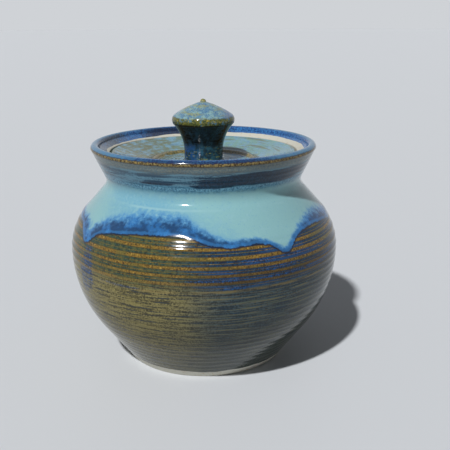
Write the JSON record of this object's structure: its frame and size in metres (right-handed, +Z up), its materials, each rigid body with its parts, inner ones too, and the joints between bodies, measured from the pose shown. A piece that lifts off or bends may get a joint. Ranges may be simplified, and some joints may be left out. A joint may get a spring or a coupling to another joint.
{
  "type": "lidded stoneware pot",
  "caption": "Round-bellied stoneware bean pot with a flared collar and a loose lid that sits sunk in a gallery and lifts off by a turned knob.",
  "frame": {"origin": "centre of the foot, on the surface that the pot stands on", "axes": "+Z up along the pot's own axis of revolution; X and Y are free, because the pot is round"},
  "size_m": [0.1818, 0.1818, 0.1752],
  "materials": {
    "pot_glaze": "glossy blue-green glaze over cream stoneware",
    "lid_glaze": "glossy aqua glaze over cream stoneware",
    "knob_glaze": "glossy aqua and olive glaze over cream stoneware"
  },
  "bodies": {
    "pot": {"pot": "pot_glaze"},
    "lid": {"lid": "lid_glaze", "knob": "knob_glaze"}
  },
  "joints": [
    {"name": "lid_lift", "type": "slide", "parent": "pot", "child": "lid", "axis": [0, 0, 1], "range_m": [0, 0.1]}
  ]
}
